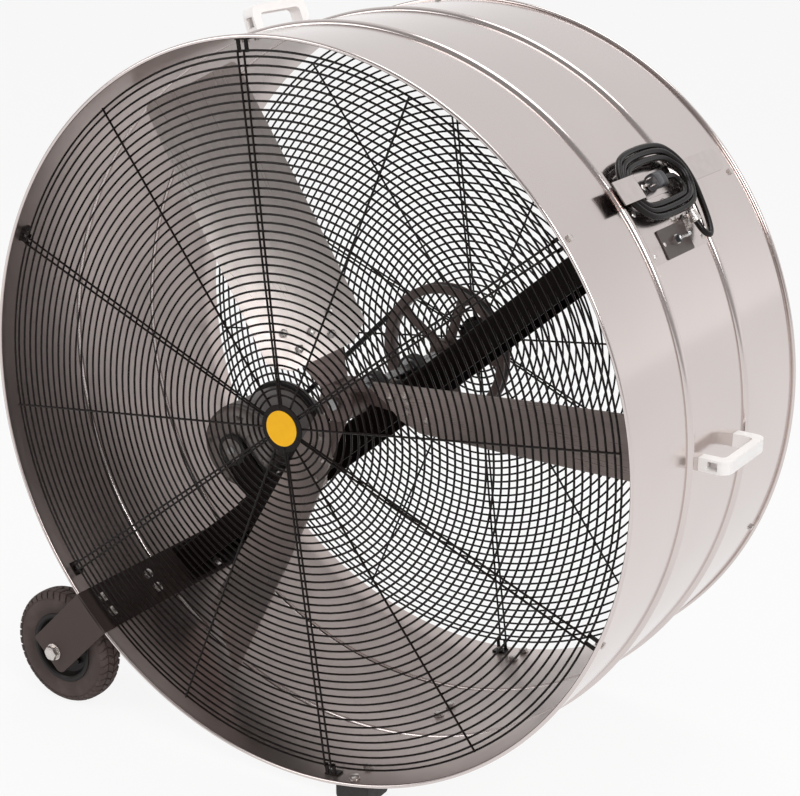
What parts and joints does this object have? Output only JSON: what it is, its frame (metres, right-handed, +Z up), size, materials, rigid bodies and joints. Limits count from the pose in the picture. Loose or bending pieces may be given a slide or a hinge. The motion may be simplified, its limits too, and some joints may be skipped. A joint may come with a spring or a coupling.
{
  "type": "portable belt-drive drum fan",
  "caption": "Large portable drum fan: steel drum with wire guards, belt-driven blades on a cross channel, wheeled axle, feet, handles, toggle switch and a coiled cord on a hook.",
  "frame": {"origin": "centre of the bounding box on the floor, under the drum", "axes": "+Y along the drum axis from the outlet guard with the badge to the inlet guard, +X to the right seen from the outlet, +Z up"},
  "size_m": [1.3145, 0.6474, 1.281],
  "materials": {
    "drum": "bright coated sheet, softly reflecting",
    "guard_wire": "glossy black coated wire",
    "black_steel": "black paint on pressed steel",
    "galvanised": "pale zinc-coated sheet",
    "zinc_fastener": "bright zinc plate",
    "badge": "plain yellow enamel",
    "handle": "moulded off-white plastic",
    "shaft_steel": "ground steel",
    "bearing_iron": "painted cast housing",
    "blade": "bright rolled sheet",
    "hub_steel": "dark steel plate",
    "pulley": "grey painted casting",
    "belt": "black fabric-covered rubber",
    "motor_body": "light grey enamel",
    "motor_bell": "cast end bell",
    "motor_dark": "black enamel",
    "copper_core": "laminated core with windings",
    "rubber": "black rubber",
    "tyre": "dark grey-brown rubber",
    "wheel_rim": "dark painted steel",
    "bracket": "dark grey powder coat",
    "switch_plate": "dark enamel",
    "switch_plastic": "black moulding",
    "lever": "polished metal",
    "cord": "glossy black jacket"
  },
  "bodies": {
    "housing": {"axle_fasteners": "zinc_fastener", "axle_rod": "shaft_steel", "badge_disc": "badge", "bearing_bolts": "zinc_fastener", "channel_bolts": "zinc_fastener", "channel_end_pads": "black_steel", "cord_coil": "cord", "cord_hook_strap": "galvanised", "cord_tail": "cord", "cross_channel": "black_steel", "drive_belt": "belt", "drum_shell": "drum", "feet": "rubber", "foot_bolts": "zinc_fastener", "front_bearing_housing": "bearing_iron", "front_center_plate": "guard_wire", "front_guard": "guard_wire", "guard_clips": "guard_wire", "guard_screws": "zinc_fastener", "handle_screws": "zinc_fastener", "motor_bolts": "zinc_fastener", "motor_cradle": "motor_dark", "motor_front_bell": "motor_bell", "motor_junction_box": "motor_dark", "motor_lead": "cord", "motor_rear_bell": "motor_dark", "motor_rings": "rubber", "motor_shell": "motor_body", "motor_stator": "copper_core", "panel_screws": "zinc_fastener", "plug": "switch_plastic", "rear_bearing_housing": "bearing_iron", "rear_center_plate": "guard_wire", "rear_guard": "guard_wire", "right_handle": "handle", "seam_strip": "drum", "strain_relief": "zinc_fastener", "switch_body": "switch_plastic", "switch_box": "galvanised", "switch_cover_plate": "switch_plate", "switch_mounting_plate": "galvanised", "switch_nut": "zinc_fastener", "top_handle": "handle", "wheel_bracket": "bracket", "wheel_bracket_bolts": "zinc_fastener"},
    "fan_rotor": {"fan_shaft": "shaft_steel", "bearing_inserts": "shaft_steel", "fan_hub": "hub_steel", "blade_1": "blade", "blade_2": "blade", "blade_3": "blade", "blade_bolts": "zinc_fastener", "driven_pulley": "pulley"},
    "motor_rotor": {"motor_shaft": "shaft_steel", "motor_pulley": "pulley"},
    "front_wheel": {"front_tyre": "tyre", "front_rim": "wheel_rim"},
    "rear_wheel": {"rear_tyre": "tyre", "rear_rim": "wheel_rim"},
    "switch_toggle": {"switch_lever": "lever"}
  },
  "joints": [
    {"name": "fan_spin", "type": "hinge", "parent": "housing", "child": "fan_rotor", "pos_m": [-0.01477, 0, 0.64807], "axis": [0, 1, 0], "continuous": true},
    {"name": "motor_spin", "type": "hinge", "parent": "housing", "child": "motor_rotor", "pos_m": [-0.33532, 0, 0.46382], "axis": [0, 1, 0], "continuous": true},
    {"name": "front_wheel_spin", "type": "hinge", "parent": "housing", "child": "front_wheel", "pos_m": [-0.54724, -0.27, 0.11], "axis": [0, 1, 0], "continuous": true},
    {"name": "rear_wheel_spin", "type": "hinge", "parent": "housing", "child": "rear_wheel", "pos_m": [-0.54724, 0.27, 0.11], "axis": [0, 1, 0], "continuous": true},
    {"name": "switch_throw", "type": "hinge", "parent": "housing", "child": "switch_toggle", "pos_m": [0.52782, -0.0055, 0.97409], "axis": [0.515, 0, -0.8572], "range_deg": [0, 30]}
  ],
  "couplings": [
    {"joint": "motor_spin", "follows": "fan_spin", "ratio": 3.8125}
  ]
}
